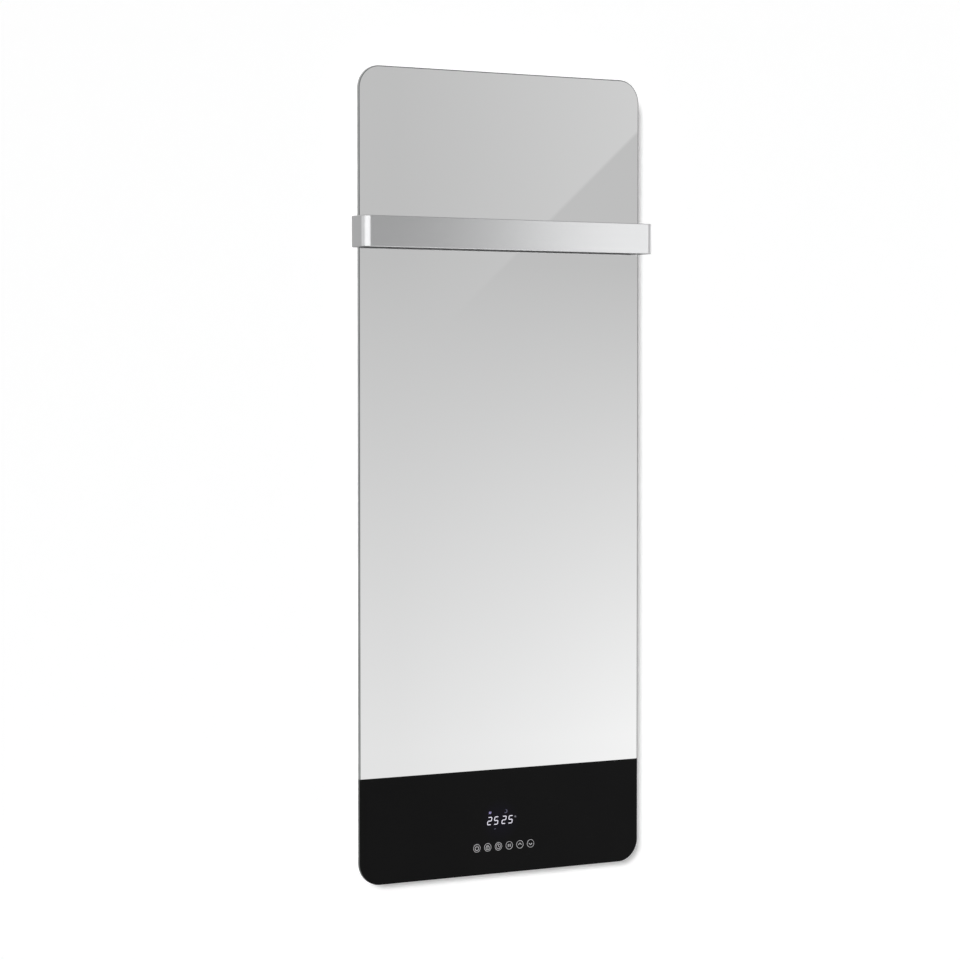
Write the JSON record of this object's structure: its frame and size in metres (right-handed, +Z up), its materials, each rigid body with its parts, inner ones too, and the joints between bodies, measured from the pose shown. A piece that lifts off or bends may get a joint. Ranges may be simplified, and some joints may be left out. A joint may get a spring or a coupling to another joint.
{
  "type": "infrared panel heater",
  "caption": "Tall mirror-glass infrared panel heater with a black touch-control band, a flat towel rail across the front and hook-on wall brackets behind.",
  "frame": {"origin": "centre of the four wall-screw holes, on the wall's surface", "axes": "+X to the right seen from the front, +Y into the wall, +Z up"},
  "size_m": [0.502, 0.0796, 1.2],
  "materials": {
    "mirror_glass": "polished mirror above, black printed band below",
    "satin_rail": "satin anodised",
    "tray_steel": "white powder coat",
    "bracket_steel": "zinc plated",
    "fastener_steel": "zinc plated",
    "earth_brass": "bright",
    "seal_silicone": "matt silicone",
    "bumper_rubber": "matt",
    "film_carbon": "carbon laminate",
    "bus_copper": "copper strip",
    "mat_wool": "mineral fibre",
    "board_green": "solder-masked laminate",
    "frame_plastic": "moulded",
    "display_plastic": "dark filter",
    "spring_steel": "tinned",
    "relay_plastic": "moulded",
    "transformer_plastic": "potted",
    "terminal_plastic": "moulded",
    "fuse_glass": "clear tube",
    "lead_insulation": "silicone sleeved",
    "ribbon_plastic": "flat cable",
    "cutout_ceramic": "glazed",
    "switch_plastic": "moulded",
    "rocker_plastic": "moulded",
    "gland_nylon": "nylon",
    "sensor_steel": "bright tube"
  },
  "bodies": {
    "wall_brackets": {"wall_bracket_upper": "bracket_steel", "wall_bracket_lower": "bracket_steel"},
    "panel": {"glass_panel": "mirror_glass", "towel_rail": "satin_rail", "rail_arms": "satin_rail", "rear_tray": "tray_steel", "electronics_cover": "tray_steel", "hanger_studs": "fastener_steel", "hanger_nuts": "fastener_steel", "control_screws": "fastener_steel", "board_screws": "fastener_steel", "board_standoffs": "fastener_steel", "cover_screws": "fastener_steel", "rail_screws": "fastener_steel", "rail_nuts": "fastener_steel", "earth_nut": "fastener_steel", "earth_stud": "earth_brass", "edge_seal": "seal_silicone", "wall_bumpers": "bumper_rubber", "sensor_grommet": "bumper_rubber", "heating_film": "film_carbon", "bus_bars": "bus_copper", "insulation_mat": "mat_wool", "control_board": "board_green", "power_board": "board_green", "control_frame": "frame_plastic", "led_display": "display_plastic", "touch_springs": "spring_steel", "fuse_clips": "spring_steel", "switch_blades": "spring_steel", "relay": "relay_plastic", "capacitor": "relay_plastic", "transformer": "transformer_plastic", "terminal_block": "terminal_plastic", "board_connector": "terminal_plastic", "fuse": "fuse_glass", "heater_leads": "lead_insulation", "switch_leads": "lead_insulation", "ribbon_cable": "ribbon_plastic", "thermal_cutout": "cutout_ceramic", "switch_housing": "switch_plastic", "cable_gland": "gland_nylon", "gland_nut": "gland_nylon", "room_sensor": "sensor_steel"},
    "rocker": {"switch_rocker": "rocker_plastic"}
  },
  "joints": [
    {"name": "lift_off", "type": "slide", "parent": "wall_brackets", "child": "panel", "axis": [0, 0, 1], "range_m": [0, 0.014]},
    {"name": "mains_switch", "type": "hinge", "parent": "panel", "child": "rocker", "pos_m": [0.1176, -0.02955, -0.563], "axis": [0, 1, 0], "range_deg": [0, 22]}
  ]
}
